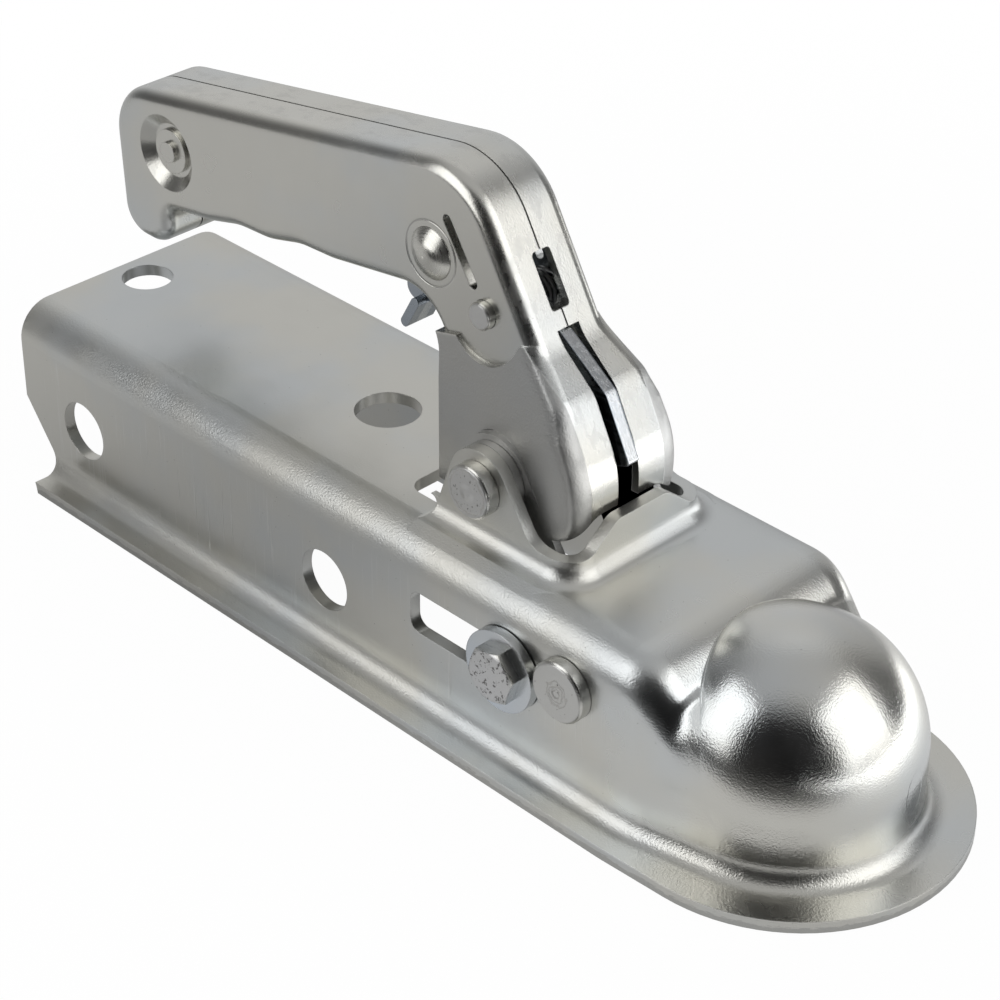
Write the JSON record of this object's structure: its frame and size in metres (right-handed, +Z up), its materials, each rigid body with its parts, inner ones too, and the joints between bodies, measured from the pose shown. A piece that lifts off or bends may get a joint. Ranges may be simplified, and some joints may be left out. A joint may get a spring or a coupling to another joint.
{
  "type": "trailer coupling head",
  "caption": "Pressed-steel trailer coupling head with a domed ball socket, a drawbar channel and a hinged locking handle with a safety catch, bright zinc plated.",
  "frame": {"origin": "on the ball's vertical axis, in the plane of the flange's underside", "axes": "+X forward from the drawbar to the ball, +Y to the left, +Z up"},
  "size_m": [0.2658, 0.083, 0.1229],
  "materials": {
    "zinc_plated_sheet": "bright zinc plating, satin",
    "zinc_plated_pins": "zinc plating, pitted heads",
    "plain_steel": "plain turned steel",
    "blue_zinc_catch": "bluish zinc plating",
    "spring_wire": "drawn spring wire",
    "jaw_steel": "forged, zinc plated"
  },
  "bodies": {
    "housing": {"housing": "zinc_plated_sheet", "pivot_pin": "zinc_plated_pins", "jaw_rivet": "zinc_plated_pins", "jaw_spacers": "plain_steel"},
    "handle": {"right_handle_shell": "zinc_plated_sheet", "left_handle_shell": "zinc_plated_sheet", "rear_grip_rivet": "zinc_plated_pins", "rear_grip_spacer": "plain_steel", "middle_rivet": "zinc_plated_pins", "middle_spacer": "plain_steel", "catch_pin": "zinc_plated_pins", "catch_spring": "spring_wire", "pivot_bush": "plain_steel", "thrust_washers": "plain_steel", "handle_spring": "spring_wire"},
    "catch": {"safety_catch": "blue_zinc_catch"},
    "clamp": {"clamp_bolt": "zinc_plated_pins", "clamp_washers": "zinc_plated_pins", "clamp_sleeves": "plain_steel", "clamp_nut": "zinc_plated_pins"},
    "jaw": {"ball_jaw": "jaw_steel"}
  },
  "joints": [
    {"name": "handle_pivot", "type": "hinge", "parent": "housing", "child": "handle", "pos_m": [-0.0725, 0, 0.058], "axis": [0, 1, 0], "range_deg": [0, 30], "stiffness_Nm_per_rad": 0.3, "springref_deg": -11.46},
    {"name": "catch_pivot", "type": "hinge", "parent": "handle", "child": "catch", "pos_m": [-0.082, 0, 0.0925], "axis": [0, 1, 0], "range_deg": [0, 15]},
    {"name": "jaw_pivot", "type": "hinge", "parent": "housing", "child": "jaw", "pos_m": [-0.0344, 0, 0.0306], "axis": [0, 1, 0], "range_deg": [0, 22.5]},
    {"name": "clamp_slide", "type": "slide", "parent": "housing", "child": "clamp", "axis": [-1, 0, 0], "range_m": [0, 0.021]}
  ],
  "couplings": [
    {"joint": "catch_pivot", "follows": "handle_pivot", "ratio": 0.5},
    {"joint": "jaw_pivot", "follows": "handle_pivot", "ratio": 0.75},
    {"joint": "clamp_slide", "follows": "handle_pivot", "m_per_rad": 0.04}
  ]
}
